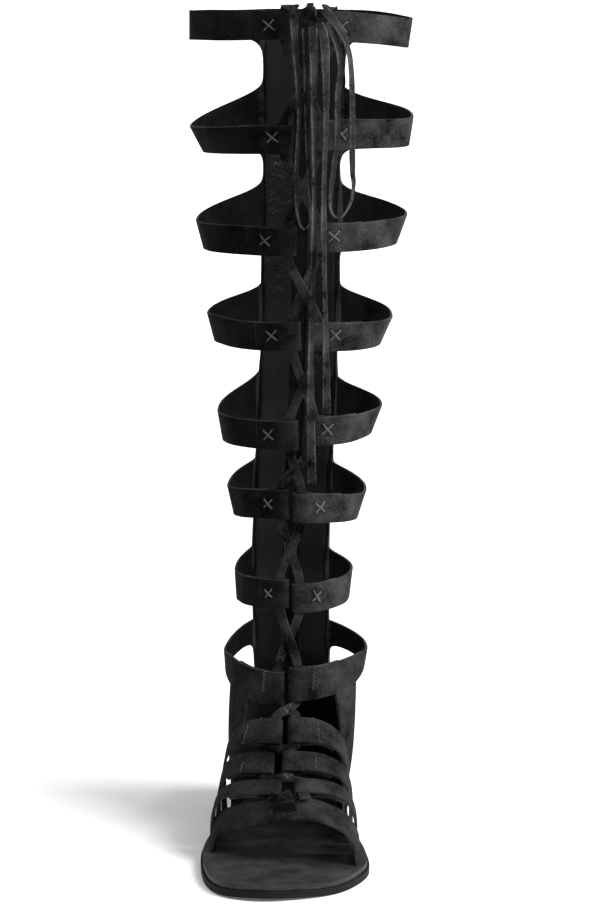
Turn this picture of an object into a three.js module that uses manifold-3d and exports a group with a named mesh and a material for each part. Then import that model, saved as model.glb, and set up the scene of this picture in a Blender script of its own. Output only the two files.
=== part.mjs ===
// Knee-high open-toe gladiator sandal, right foot, in suede with a flat suede lace.
// Millimetres, +Z up, toe towards -Y, the wearer's inner (medial) side towards +X.
import * as THREE from 'three';
import { mergeVertices } from 'three/addons/utils/BufferGeometryUtils.js';
import Module from 'manifold-3d';

const wasm = await Module();
wasm.setup();

// Driving sizes
const WALL = 1.5; // suede and lining of every strap
const GAP = 0.3; // clearance between pieces that touch
const SOLE_RIM = 1.2; // how far the outsole stands out past the footbed
const OUTSOLE_THICK = 4; // under the forefoot
const INSOLE_THICK = 2.9;
const HEEL_LIFT = 5; // how much higher the heel seat is than the ball
const ARCH_LIFT = 3; // how far the waist of the outsole clears the floor
const TOE_SPRING = 2;
const SLOT_INSET = 5; // from the footbed's edge to the straps that come up through it
const TAB = 12; // length of a strap turned in under the footbed
const FOLD_RADIUS = 2.25; // of a strap's end turned back round the lace
const FLAP = 28; // length of the turned-back end
const LACE_WIDTH = 5;
const LACE_THICK = 1.3;
const CORD_DIAMETER = 3; // the free lengths of lace, as plain round cord

const table = (columns, rows) => rows.map((row) => Object.fromEntries(columns.map((c, i) => [c, row[i]])));

// Footbed outline: half widths at stations along the foot, between the two tips.
const TOE_TIP = { x: -9, y: -127 };
const HEEL_TIP = { x: -4.5, y: 125.5 };
const OUTLINE = table(['y', 'left', 'right'], [
  [-122, -27.5, 11], // toes
  [-112, -36, 26.5],
  [-95, -42.4, 37],
  [-71, -46.6, 44], // inner ball
  [-40, -48.8, 41.8], // outer ball
  [-8, -46.5, 35.5],
  [25, -41, 29.5], // waist
  [60, -36, 26.5],
  [85, -35, 26],
  [102, -33.5, 24.5], // heel
  [116, -26.5, 17.5],
]);

// Back spine: its centre, half width, rearmost point and the radius of its curve in plan.
const SPINE = table(['z', 'x', 'half', 'back', 'radius'], [
  [8, -4.8, 22.4, 121.6, 27],
  [30, -5.4, 22.6, 119.5, 29],
  [60, -6, 22.7, 113.5, 31],
  [100, -7, 22.7, 108, 33],
  [140, -7.5, 22.7, 106.5, 36],
  [190, -6.4, 22.9, 109, 42],
  [232, -4.5, 23.3, 112.5, 48],
  [290, -2.7, 23.2, 117, 55],
  [344, -2.3, 22.9, 120, 60],
  [402, -1.5, 23.2, 121, 64],
  [440, 0, 24.4, 120, 64],
  [475, 0.5, 25, 119, 64],
]);

// Where each ring leaves the spine: height, width, and how far the cut-outs round up and down.
const ROOTS = table(['ring', 'z', 'width', 'rise', 'drop'], [
  ['ankle', 102, 11, 3, 4],
  ['shin1', 140, 16.5, 7, 6],
  ['shin2', 190, 16.5, 9, 6],
  ['shin3', 234, 16.5, 17, 7],
  ['calf1', 290, 16.5, 13.6, 8],
  ['calf2', 345, 16.5, 20, 8],
  ['calf3', 400.5, 16.5, 22, 8],
  ['knee', 465, 16.5, 0, 9],
]);

// Each half of a ring: its widest point, the lean of its top edge there, and its folded front end.
const RINGS = table(
  ['ring', 'side', 'xSide', 'ySide', 'zSide', 'lean', 'xEnd', 'yFront', 'zFront', 'frontWidth'],
  [
    ['knee', -1, -63.8, 62, 464.9, 0, -1.2, 21, 465.4, 16.5],
    ['knee', 1, 64.2, 62, 460.5, 2.4, 15.9, 21, 464.8, 16.5],
    ['calf3', -1, -60.2, 64, 399.7, 9.5, -2, 21, 401.6, 16.5],
    ['calf3', 1, 65.1, 64, 405, 2.6, 7.6, 21, 403.6, 16.5],
    ['calf2', -1, -58.6, 63, 345.3, 4.6, 0.2, 21, 343.2, 16.5],
    ['calf2', 1, 59.7, 63, 348.5, 6.4, 6.8, 21, 345.6, 16.5],
    ['calf1', -1, -52.2, 62, 291.7, 4.1, 3, 21, 289.3, 16.5],
    ['calf1', 1, 50.9, 62, 290, 7.9, 7.6, 21, 289.4, 16.5],
    ['shin3', -1, -46.6, 61, 234, 2.9, 1.4, 21, 232.5, 16.5],
    ['shin3', 1, 45.6, 61, 237.6, 6.4, 5, 21, 235, 16.5],
    ['shin2', -1, -40.6, 60, 190.3, 3.5, -3.8, 21, 193.1, 16.5],
    ['shin2', 1, 37, 60, 187.3, 5.3, -2, 21, 191.2, 16.5],
    ['shin1', -1, -37.8, 60, 140.5, 1.2, -4.4, 20, 141, 16.5],
    ['shin1', 1, 30.3, 60, 140.3, 2.1, -3, 20, 138.6, 16.5],
    ['ankle', -1, -43.6, 50, 97, 1, -5.4, 6, 88.6, 18.5],
    ['ankle', 1, 39.6, 50, 98, 2, -3.4, 6, 91, 18.5],
  ],
);
const RING_BACK_REACH = 0.6; // how far the curve from spine to side runs before it turns
const RING_FRONT_REACH = 0.62;
const FRONT_LEAN = 0.3; // share of the lean that is left at the front
const TAPER_SHARE = 0.45; // how straight a ring's upper edge runs down from the spine
const RING_WIDENING = 28; // how far past the side a ring takes to reach its front width

// Half straps over the foot: where each one leaves the footbed, its folded end and its slope.
const FOOT_STRAPS = table(
  ['strap', 'side', 'yLow', 'xEnd', 'yEnd', 'zEnd', 'slope', 'width', 'bulge'],
  [
    ['instep', -1, 2, -5.6, -13.5, 68.4, 47, 16, 1.5],
    ['instep', 1, 0, -3.2, -13.5, 69.6, 47, 16, 3],
    ['middle', -1, -15, -9.6, -28, 53, 40, 14, 0.5],
    ['middle', 1, -21, -6, -28, 54.5, 40, 14, 2],
    ['lower', -1, -34, -4.8, -45.5, 43, 27, 12, 1],
    ['lower', 1, -43, 1.8, -46.5, 44, 27, 12, 1],
  ],
);
const CREST_REACH = 0.84; // roundness of a foot strap at its crest
const SIDE_REACH = 0.94; // and at its side
const BASE_FLARE = 3.4; // how much wider, each way, a foot strap is where it leaves the footbed
const FLARE_LENGTH = 28;
const LAP = 1.2; // middle to middle, where one strap lies inside another

// Side straps that tie the ankle ring down to the footbed. They lap inside the ring, between two
// distances forward of its widest point.
const SIDE_STRAPS = table(['side', 'yLow', 'width', 'rear', 'front', 'zTop', 'bulge'], [
  [-1, 17, 22, 22, 46, 91, 1.5],
  [1, 15, 20, 20, 42, 91, 2.5],
]);

// Heel counter: closes each side between the spine and the side strap, up to these heights.
const COUNTER = { rearTop: 72, frontTop: 81, yMiddle: 75, bulge: 2.5, lap: 0.85 };

// Toe band: front and back edge, from the outer side of the foot to the inner side.
const TOE_BAND = table(['xFront', 'yFront', 'zFront', 'xBack', 'yBack', 'zBack'], [
  [-43.3, -53, 7, -43.3, -36, 7],
  [-41.5, -55, 15, -44, -37, 18],
  [-31, -61, 20.5, -36, -43, 29.5],
  [-17, -67, 25.6, -20, -52, 35.6],
  [3, -73, 31.5, -2, -57, 38.5],
  [18, -75, 31.5, 16, -58.5, 39],
  [31, -77, 25, 30, -58, 33],
  [37.4, -78, 15, 38, -54.5, 20],
  [38.2, -78, 7, 38.2, -53.5, 7],
]);
const NOTCH = { from: -10, to: 4.5, depth: 0.36 }; // cut into the band's back edge at its centre

// Routes of the free lace, from the knot down.
const KNOT = new THREE.Vector3(8.5, 15.5, 472);
const KNOT_SIZE = new THREE.Vector3(12, 9, 10);
const LACE_ROUTES = {
  bow_loop_outer: [
    [1.2, 13.2, 474.6], [-0.6, 11.6, 470], [-0.2, 10.8, 458], [1.2, 10.8, 435], [2.4, 10.8, 413],
    [1, 10.8, 388], [0.8, 10.8, 368], [2.6, 10.8, 355.6], [6, 10.8, 352], [9, 10.8, 357],
    [8.6, 10.8, 375], [7.2, 10.8, 398], [6.6, 10.8, 425], [6.4, 10.8, 452], [6, 9.6, 464],
  ],
  bow_loop_inner: [
    [16, 13.2, 474.4], [20.6, 11.6, 469.4], [26.4, 10.8, 461], [30.4, 10.8, 450], [32, 10.8, 432],
    [32.2, 10.8, 408], [32.4, 10.8, 386], [33, 10.8, 375], [30.4, 10.8, 364.6], [25.6, 10.8, 358.4],
    [20.8, 10.8, 361], [20, 10.8, 371], [21.8, 10.8, 386], [23.8, 10.8, 404], [24.2, 10.8, 428],
    [25.6, 10.8, 444], [22.4, 10.8, 459], [17, 10.2, 466.6],
  ],
  lace_end_outer: [
    [10, 9.2, 467.2], [10.4, 7, 459], [10.8, 6.6, 440], [10.6, 6.6, 412], [11, 6.6, 380],
    [10.8, 7, 345], [9.6, 8, 310], [9, 9, 276], [9, 10, 241], [9.8, 10.6, 207],
  ],
  lace_end_inner: [
    [13.6, 9.4, 466.4], [16.4, 7.4, 459], [17.4, 6.8, 440], [17.6, 6.6, 412], [16.6, 6.6, 380],
    [16.4, 7, 350], [17, 8, 315], [17.6, 9.4, 280], [18, 10.6, 247],
  ],
};

// ---------------------------------------------------------------- helpers

function geometryOf(points, triangles) {
  const geometry = new THREE.BufferGeometry();
  geometry.setAttribute('position', new THREE.Float32BufferAttribute(points.flatMap((p) => p.toArray()), 3));
  geometry.setIndex(triangles.flat());
  return geometry;
}

function solidOf(source) {
  const bare = source.clone();
  bare.deleteAttribute('normal');
  bare.deleteAttribute('uv');
  const merged = mergeVertices(bare, 1e-4);
  const mesh = new wasm.Mesh({
    numProp: 3,
    vertProperties: new Float32Array(merged.attributes.position.array),
    triVerts: new Uint32Array(merged.index.array),
  });
  return new wasm.Manifold(mesh);
}

function geometryOfSolid(solid) {
  const mesh = solid.getMesh();
  const geometry = new THREE.BufferGeometry();
  geometry.setAttribute('position', new THREE.Float32BufferAttribute(mesh.vertProperties, 3));
  geometry.setIndex(new THREE.Uint32BufferAttribute(mesh.triVerts, 1));
  return geometry;
}

const join = (solids) => solids.reduce((whole, next) => whole.add(next));
const ease = (t) => THREE.MathUtils.smoothstep(t, 0, 1);

// A smooth function of one column of a table, giving all its other columns.
function profile(rows, key) {
  const columns = Object.keys(rows[0]).filter((c) => c !== key);
  const places = rows.map((row) => row[key]);
  const values = rows.flatMap((row) => columns.map((c) => row[c]));
  const curve = new THREE.CubicInterpolant(places, values, columns.length);
  return (place) => {
    const found = curve.evaluate(THREE.MathUtils.clamp(place, places[0], places.at(-1)));
    return Object.fromEntries(columns.map((c, i) => [c, found[i]]));
  };
}

// A sheet of leather as quads over its middle surface, thickened into a closed solid.
class Sheet {
  constructor() {
    this.points = [];
    this.normals = [];
    this.quads = [];
    this.known = new Map();
  }

  vertex(point, normal) {
    const key = point.toArray().map((v) => Math.round(v * 1000)).join();
    if (!this.known.has(key)) {
      this.known.set(key, this.points.length);
      this.points.push(point);
      this.normals.push(new THREE.Vector3());
    }
    const index = this.known.get(key);
    this.normals[index].add(normal);
    return index;
  }

  // grid[i][k]: i along the strip, k across it; side says which way is outside.
  patch(grid, side, keep = () => true) {
    const last = grid.length - 1;
    const edge = grid[0].length - 1;
    const ids = grid.map((row, i) => row.map((point, k) => {
      const along = grid[Math.min(i + 1, last)][k].clone().sub(grid[Math.max(i - 1, 0)][k]);
      const across = row[Math.min(k + 1, edge)].clone().sub(row[Math.max(k - 1, 0)]);
      return this.vertex(point, along.cross(across).normalize().multiplyScalar(side));
    }));
    for (let i = 0; i < last; i += 1) {
      for (let k = 0; k < edge; k += 1) {
        if (keep(i, k)) {
          const quad = [ids[i][k], ids[i + 1][k], ids[i + 1][k + 1], ids[i][k + 1]];
          this.quads.push(side > 0 ? quad : quad.reverse());
        }
      }
    }
  }

  thicken(wall) {
    const count = this.points.length;
    const shift = this.normals.map((n) => n.clone().normalize().multiplyScalar(wall / 2));
    const outer = this.points.map((p, i) => p.clone().add(shift[i]));
    const inner = this.points.map((p, i) => p.clone().sub(shift[i]));
    const edges = new Set(this.quads.flatMap((q) => q.map((a, j) => `${a},${q[(j + 1) % 4]}`)));
    const triangles = [];
    const quad = (a, b, c, d) => triangles.push([a, b, c], [a, c, d]);
    for (const [a, b, c, d] of this.quads) {
      quad(a, b, c, d);
      quad(d + count, c + count, b + count, a + count);
    }
    for (const name of edges) {
      const [a, b] = name.split(',').map(Number);
      if (!edges.has(`${b},${a}`)) {
        quad(b, a, a + count, b + count);
      }
    }
    return solidOf(geometryOf([...outer, ...inner], triangles));
  }
}

// ---------------------------------------------------------------- sole

const toeSpring = (y) => TOE_SPRING * Math.max(0, (-98 - y) / 30) ** 2;
const heelLift = (y) => HEEL_LIFT * ease((y + 20) / 80);
const archLift = (y) => ARCH_LIFT * ease((y + 18) / 36) * ease((62 - y) / 36);
const treadZ = (y) => toeSpring(y) + archLift(y);
const outsoleTop = (y) => toeSpring(y) + heelLift(y) + OUTSOLE_THICK;
const insoleTop = (y) => outsoleTop(y) + GAP + INSOLE_THICK;
const tabZ = (y) => outsoleTop(y) + GAP + WALL / 2;

// The outline as two sides, each a list of points from toe to heel, moved out by grow.
function outlineSides(grow) {
  const place = (x, y) => new THREE.Vector3(x, y, 0);
  const loop = [
    place(TOE_TIP.x, TOE_TIP.y - grow),
    ...OUTLINE.map((row) => place(row.right + grow, row.y)),
    place(HEEL_TIP.x, HEEL_TIP.y + grow),
    ...OUTLINE.toReversed().map((row) => place(row.left - grow, row.y)),
  ];
  const ring = new THREE.CatmullRomCurve3(loop, true, 'centripetal').getPoints(480).slice(0, -1);
  const ys = ring.map((p) => p.y);
  const toe = ys.indexOf(Math.min(...ys));
  const turned = [...ring.slice(toe), ...ring.slice(0, toe)];
  const heel = turned.map((p) => p.y).indexOf(Math.max(...ys));
  return { right: turned.slice(0, heel + 1), left: [...turned.slice(heel), turned[0]].reverse() };
}

function edgeAt(side, y) {
  const next = side.findIndex((p) => p.y >= y);
  const [a, b] = [side[Math.max(next - 1, 0)], side[Math.max(next, 1)]];
  return THREE.MathUtils.mapLinear(y, a.y, b.y, a.x, b.x);
}

function plate(grow, under, over) {
  const steps = 46;
  const sides = outlineSides(grow);
  const [toe, heel] = [sides.right[0].y, sides.right.at(-1).y];
  const points = [];
  const triangles = [];
  const quad = (a, b, c, d) => triangles.push([a, b, c], [a, c, d]);
  for (let i = 0; i <= steps; i += 1) {
    const turn = THREE.MathUtils.lerp(0.06, Math.PI - 0.06, i / steps);
    const y = (toe + heel) / 2 - Math.cos(turn) * (heel - toe) / 2;
    const [left, right] = [edgeAt(sides.left, y), edgeAt(sides.right, y)];
    for (const [x, z] of [[left, under(y)], [right, under(y)], [right, over(y)], [left, over(y)]]) {
      points.push(new THREE.Vector3(x, y, z));
    }
    for (let k = 0; k < 4 && i > 0; k += 1) {
      const [a, b] = [4 * i - 4 + k, 4 * i - 4 + (k + 1) % 4];
      quad(a, a + 4, b + 4, b);
    }
  }
  const end = 4 * steps;
  quad(0, 1, 2, 3);
  quad(end + 3, end + 2, end + 1, end);
  return solidOf(geometryOf(points, triangles));
}

const footbed = outlineSides(0);
const slotX = (side, y) => edgeAt(side < 0 ? footbed.left : footbed.right, y) - side * SLOT_INSET;

// ---------------------------------------------------------------- straps

const spineAt = profile(SPINE, 'z');

// A point of the spine: u from -1 to 1 across it, inset towards the foot.
function spinePoint(u, z, inset = 0, spread = 1) {
  const row = spineAt(z);
  const turn = u * Math.asin(row.half / row.radius) * spread;
  const reach = row.radius - inset;
  return new THREE.Vector3(row.x + reach * Math.sin(turn), row.back - row.radius + reach * Math.cos(turn), z);
}

// The centre line of a strap, measured by length, with its outward normal and across direction.
function strapLine(stations) {
  const along = [0];
  for (let i = 1; i < stations.length; i += 1) {
    along.push(along[i - 1] + stations[i].point.distanceTo(stations[i - 1].point));
  }
  const length = along.at(-1);
  const mix = (key, i, t) => stations[i][key].clone().lerp(stations[i + 1][key], t);
  const at = (s) => {
    const place = THREE.MathUtils.clamp(s, 0, length);
    const i = Math.min(Math.max(along.findIndex((a) => a > place) - 1, 0), stations.length - 2);
    const found = place >= length ? stations.length - 2 : i;
    const t = (place - along[found]) / (along[found + 1] - along[found]);
    const across = mix('across', found, t).normalize();
    const ahead = stations[found + 1].point.clone().sub(stations[found].point).normalize();
    return { point: mix('point', found, t), across, ahead };
  };
  return { at, length };
}

// The folded end in section: distance back from the end and distance out from the strap.
function foldSection() {
  const turns = 5;
  const rows = [];
  for (let i = 1; i <= turns; i += 1) {
    const turn = (Math.PI * i) / turns;
    rows.push([-FOLD_RADIUS * Math.sin(turn), FOLD_RADIUS * (1 - Math.cos(turn))]);
  }
  const pressed = WALL + GAP;
  const open = 2 * FOLD_RADIUS;
  rows.push([4, open - 0.1], [8, open * 0.75], [12.5, pressed + 0.35], [16, pressed], [22, pressed], [FLAP, pressed]);
  return rows;
}

// Lays out a strap's rows: its own stations, then the fold and the flap over its outer face.
function strapGrid(line, side, stations, edges) {
  const place = (s, out) => {
    const { point, across, ahead } = line.at(s);
    const normal = ahead.clone().cross(across).normalize().multiplyScalar(side);
    const centre = point.addScaledVector(normal, out);
    const [low, high] = edges(s);
    return [centre.clone().addScaledVector(across, -low), centre.clone().addScaledVector(across, high)];
  };
  const rows = stations.map((s) => place(s, 0));
  for (const [back, out] of foldSection()) {
    const row = place(line.length - Math.max(back, 0), out);
    const ahead = line.at(line.length).ahead.multiplyScalar(Math.max(-back, 0));
    rows.push(row.map((point) => point.add(ahead)));
  }
  return rows;
}

// The open tunnel at a folded end, which the lace runs up through.
function tunnel(line, side, half) {
  const { point, across, ahead } = line.at(line.length - 2.2);
  const normal = ahead.clone().cross(across).normalize().multiplyScalar(side);
  return { centre: point.addScaledVector(normal, FOLD_RADIUS), up: across, normal, half };
}

function ringLine(ring, root) {
  const start = spinePoint(ring.side, root.z);
  const row = spineAt(root.z);
  const turn = Math.asin(row.half / row.radius);
  const wide = new THREE.Vector3(ring.xSide - ring.side * WALL / 2, ring.ySide, ring.zSide);
  const end = new THREE.Vector3(ring.xEnd + ring.side * (FOLD_RADIUS + WALL / 2), ring.yFront, ring.zFront);
  const leave = new THREE.Vector3(ring.side * Math.cos(turn), -Math.sin(turn), 0);
  const back = new THREE.Vector3(0, 1, 0);
  const [dx, dy] = [Math.abs(wide.x - start.x), start.y - wide.y];
  const first = new THREE.CubicBezierCurve3(
    start,
    start.clone().addScaledVector(leave, RING_BACK_REACH * dx),
    wide.clone().addScaledVector(back, RING_BACK_REACH * dy),
    wide,
  );
  const second = new THREE.CubicBezierCurve3(
    wide,
    wide.clone().addScaledVector(back, -RING_FRONT_REACH * (wide.y - end.y)),
    new THREE.Vector3(end.x + RING_FRONT_REACH * (wide.x - end.x), end.y, end.z),
    end,
  );
  const steps = 24;
  const stations = [];
  for (let i = 0; i <= 2 * steps; i += 1) {
    const front = i > steps;
    const t = (front ? i - steps : i) / steps;
    const curve = front ? second : first;
    const point = curve.getPoint(t);
    const heading = curve.getTangent(t);
    const outward = new THREE.Vector3(-heading.y, heading.x, 0).normalize().multiplyScalar(ring.side);
    const heights = front ? [ring.zSide, ring.zFront] : [root.z, ring.zSide];
    const weight = front ? THREE.MathUtils.lerp(1, FRONT_LEAN, ease(t)) : ease(t);
    point.z = THREE.MathUtils.lerp(...heights, ease(t));
    const across = new THREE.Vector3(0, 0, root.width).addScaledVector(outward, ring.lean * weight).normalize();
    stations.push({ point, across });
  }
  return { ...strapLine(stations), backLength: first.getLength() };
}

// A concave quarter round that starts upright at the spine and dies out at reach.
const rounding = (s, reach) => (s < reach ? 1 - Math.sqrt(1 - (1 - s / reach) ** 2) : 0);
// The same start, eased into a long straight taper.
const taper = (s, reach) => THREE.MathUtils.lerp(rounding(s, reach), Math.max(0, 1 - s / reach), TAPER_SHARE);

function addRing(sheet, ring) {
  const root = ROOTS.find((r) => r.ring === ring.ring);
  const line = ringLine(ring, root);
  const edges = (s) => {
    const width = THREE.MathUtils.lerp(root.width, ring.frontWidth, ease((s - line.backLength) / RING_WIDENING));
    const low = width / 2 + root.drop * rounding(s, 12);
    const high = width / 2 + root.rise * taper(s, line.backLength);
    return [low, high];
  };
  const backSteps = 7;
  const frontSteps = 8;
  const stations = [];
  for (let i = 0; i < backSteps; i += 1) {
    stations.push(line.backLength * (1 - Math.cos((Math.PI / 2) * (i / backSteps))));
  }
  for (let i = 0; i <= frontSteps; i += 1) {
    stations.push(THREE.MathUtils.lerp(line.backLength, line.length, i / frontSteps));
  }
  const grid = strapGrid(line, ring.side, stations, edges);
  grid[0] = [spinePoint(ring.side, root.z - root.width / 2 - root.drop),
    spinePoint(ring.side, root.z + root.width / 2 + root.rise)];
  sheet.patch(grid, ring.side);
  return tunnel(line, ring.side, ring.frontWidth / 2);
}

// Heights of the spine's rows: tab under the footbed, heel, then each ring's root and cut-out.
function spineRows(grow) {
  const heel = HEEL_TIP.y - 8;
  const low = tabZ(heel);
  const rows = [[low, TAB + grow], [low, 2.4], [low + 0.6, 0.7], [low + 2.2, 0], [20, 0], [32, 0], [46, 0], [62, 0], [78, 0]];
  for (const [i, root] of ROOTS.entries()) {
    const [bottom, top] = [root.z - root.width / 2 - root.drop, root.z + root.width / 2 + root.rise];
    rows.push([bottom, 0], [top, 0]);
    const next = ROOTS[i + 1];
    if (next) {
      const clear = next.z - next.width / 2 - next.drop;
      rows.push([THREE.MathUtils.lerp(top, clear, 0.5), 0]);
    }
  }
  return rows;
}

function spineGrid(grow) {
  return spineRows(grow).map(([z, inset]) => {
    const spread = 1 + grow / 22;
    return [1, 0.5, 0, -0.5, -1].map((u) => spinePoint(u, z, inset, spread));
  });
}

// Turned-in tab and upright start of a strap that comes up through the footbed.
function tabStations(side, yLow, grow) {
  const x = slotX(side, yLow);
  const z = tabZ(yLow);
  const across = new THREE.Vector3(0, 2, tabZ(yLow + 1) - tabZ(yLow - 1)).normalize();
  const rows = [[TAB + grow, 0], [2.2, 0], [0.7, 0.6], [0, 2.2]];
  return rows.map(([inward, up]) => ({ point: new THREE.Vector3(x - side * inward, yLow, z + up), across }));
}

function footStrapParts(strap, grow) {
  const slope = THREE.MathUtils.degToRad(strap.slope);
  const sloped = new THREE.Vector3(0, Math.cos(slope), Math.sin(slope));
  const tab = tabStations(strap.side, strap.yLow, grow);
  const low = tab.at(-1).point;
  const end = new THREE.Vector3(strap.xEnd + strap.side * (FOLD_RADIUS + WALL / 2), strap.yEnd, strap.zEnd);
  const [dx, dz] = [Math.abs(end.x - low.x), end.z - low.z];
  const bulged = low.x + strap.side * strap.bulge * 2;
  const curve = new THREE.CubicBezierCurve3(
    low,
    new THREE.Vector3(bulged, low.y, low.z + SIDE_REACH * dz),
    new THREE.Vector3(end.x + strap.side * CREST_REACH * dx, end.y, end.z),
    end,
  );
  const steps = 24;
  const stations = tab.slice(0, -1);
  for (let i = 0; i <= steps; i += 1) {
    const across = tab[0].across.clone().lerp(sloped, ease(i / steps)).normalize();
    stations.push({ point: curve.getPoint(i / steps), across });
  }
  const line = strapLine(stations);
  const half = strap.width / 2 + grow;
  const places = [0, TAB - 2.2, TAB - 0.6, TAB + 1.1];
  const rest = 12;
  for (let i = 1; i <= rest; i += 1) {
    places.push(THREE.MathUtils.lerp(TAB + 1.1, line.length, i / rest));
  }
  const edges = (s) => {
    const reach = half + BASE_FLARE * (1 - ease((s - TAB) / FLARE_LENGTH));
    return [reach, reach];
  };
  return { line, grid: strapGrid(line, strap.side, places, edges) };
}

function footStrap(strap, grow = 0) {
  const sheet = new Sheet();
  sheet.patch(footStrapParts(strap, grow).grid, strap.side);
  return sheet.thicken(WALL + 2 * grow);
}

function sideStrapGrid(strap, grow) {
  const tab = tabStations(strap.side, strap.yLow, grow);
  const ring = RINGS.find((row) => row.ring === 'ankle' && row.side === strap.side);
  const line = ringLine(ring, ROOTS.find((row) => row.ring === 'ankle'));
  const half = strap.width / 2 + grow;
  const columns = [0, 1, 2, 3].map((k) => {
    const place = line.backLength + THREE.MathUtils.lerp(strap.front, strap.rear, k / 3);
    const { point, across, ahead } = line.at(place);
    const inward = new THREE.Vector3(ahead.y, -ahead.x, 0).normalize().multiplyScalar(LAP * strap.side);
    const top = point.addScaledVector(across, (strap.zTop - point.z) / across.z).add(inward);
    return { top, reach: THREE.MathUtils.lerp(-half, half, k / 3) };
  });
  const steps = 8;
  const grid = tab.map((row) => columns.map(({ reach }) => row.point.clone().addScaledVector(row.across, reach)));
  const foot = grid.at(-1);
  for (let i = 1; i <= steps; i += 1) {
    const t = i / steps;
    const out = new THREE.Vector3(strap.side * strap.bulge * Math.sin(Math.PI * t), 0, 0);
    grid.push(columns.map(({ top }, k) => foot[k].clone().lerp(top, t).add(out)));
  }
  return grid;
}

function sideStrap(strap, grow = 0) {
  const sheet = new Sheet();
  sheet.patch(sideStrapGrid(strap, grow), strap.side);
  return sheet.thicken(WALL + 2 * grow);
}

// One side of the heel counter. It laps inside the spine at one end and the side strap at the other.
function counter(strap, grow = 0) {
  const { side } = strap;
  const ribs = sideStrapGrid(strap, grow);
  const [foot, head] = [ribs[3], ribs.at(-1)];
  const share = (COUNTER.frontTop - foot[3].z) / (head[3].z - foot[3].z);
  const low = tabZ(HEEL_TIP.y - 8);
  const row = (inset, z, t, rear, lap) => {
    const edge = spinePoint(side, z, inset + WALL / 2);
    const middle = new THREE.Vector3(slotX(side, COUNTER.yMiddle) - side * inset, COUNTER.yMiddle, z);
    const straight = edge.clone().lerp(rear, (edge.y - middle.y) / (edge.y - rear.y));
    middle.lerp(straight.add(new THREE.Vector3(side * COUNTER.bulge, 0, 0)), t);
    const points = [spinePoint(side * COUNTER.lap, z, inset + WALL / 2), edge, middle, rear, lap];
    return new THREE.CatmullRomCurve3(points, false, 'centripetal').getPoints(8);
  };
  const inside = new THREE.Vector3(-side * (WALL / 2), 0, 0);
  const upStrap = (t, k) => {
    const place = 3 + t * share * (ribs.length - 4);
    const i = Math.min(Math.floor(place), ribs.length - 2);
    const at = (j) => ribs[j][2].clone().lerp(ribs[j][3], k);
    return at(i).lerp(at(i + 1), place - i).add(inside);
  };
  const lapped = 0.4 - grow / 7;
  const rows = [[TAB + grow, 0], [2.2, 0], [0.7, 0.6], [0, 2.2]].map(([inset, up], j) => {
    const [rear, lap] = [1, lapped].map((k) => ribs[j][2].clone().lerp(ribs[j][3], k).add(inside));
    return row(inset, low + up, 0, rear, lap).map((point) => point.setZ(tabZ(point.y) + up));
  });
  const steps = 4;
  for (let i = 1; i <= steps; i += 1) {
    const t = i / steps;
    rows.push(row(0, THREE.MathUtils.lerp(low + 2.2, COUNTER.rearTop, t), t, upStrap(t, 1), upStrap(t, lapped)));
  }
  const grid = rows[0].map((_, i) => rows.map((points) => points[i]));
  const sheet = new Sheet();
  sheet.patch(grid, side);
  return sheet.thicken(WALL + 2 * grow);
}

function toeBand(grow = 0) {
  const edge = (name, shift) => {
    const points = TOE_BAND.map((row) => new THREE.Vector3(row[`x${name}`], row[`y${name}`] + shift, row[`z${name}`]));
    const turned = (point, side) => {
      const z = tabZ(point.y);
      const rows = [[TAB + grow, 0], [2.2, 0], [0.7, 0.6]];
      return rows.map(([inward, up]) => new THREE.Vector3(point.x - side * inward, point.y, z + up));
    };
    const curve = new THREE.CatmullRomCurve3(points, false, 'centripetal').getPoints(32);
    return [...turned(points[0], -1), ...curve, ...turned(points.at(-1), 1).reverse()];
  };
  const front = edge('Front', -grow);
  const back = edge('Back', grow);
  const grid = front.map((point, i) => [back[i], back[i].clone().lerp(point, 1 - NOTCH.depth), point]);
  const inNotch = (i) => {
    const x = (grid[i][0].x + grid[i + 1][0].x) / 2;
    return x > NOTCH.from && x < NOTCH.to;
  };
  const sheet = new Sheet();
  sheet.patch(grid, 1, (i, k) => k === 1 || !inNotch(i));
  return sheet.thicken(WALL + 2 * grow);
}

// The thin lasting margin that joins all the tabs under the footbed; sink lowers its under face.
function margin(grow = 0, sink = 0) {
  const [start, end] = [-74, -50]; // inner and outer ends, behind the open toes
  const right = footbed.right.filter((p) => p.y > start && p.y < 100);
  const left = footbed.left.filter((p) => p.y > end && p.y < 100).reverse();
  const pick = (list) => list.filter((p, i) => i % 14 === 0);
  const arc = [];
  for (let i = 0; i <= 10; i += 1) {
    const point = spinePoint(1 - i / 5, 8, 0, 1.12);
    arc.push(new THREE.Vector3(point.x, point.y, 0));
  }
  const rim = (p, inset) => {
    const side = Math.sign(p.x + 4);
    return new THREE.Vector3(p.x - side * inset, p.y, tabZ(p.y) - sink / 2);
  };
  const centre = new THREE.Vector3(HEEL_TIP.x, 94, 0);
  const rows = [
    ...pick(right).map((p) => [rim(p, 15 + grow), rim(p, 8 - grow)]),
    ...arc.map((p) => {
      const out = p.clone().sub(centre).normalize();
      const at = (inset) => p.clone().addScaledVector(out, -inset).setZ(tabZ(HEEL_TIP.y - 8) - sink / 2);
      return [at(10 + grow), at(3 - grow)];
    }),
    ...pick(left).map((p) => [rim(p, 15 + grow), rim(p, 8 - grow)]),
  ];
  const sheet = new Sheet();
  sheet.patch(rows, -1);
  return sheet.thicken(WALL - 0.4 + 2 * grow + sink);
}

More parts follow.
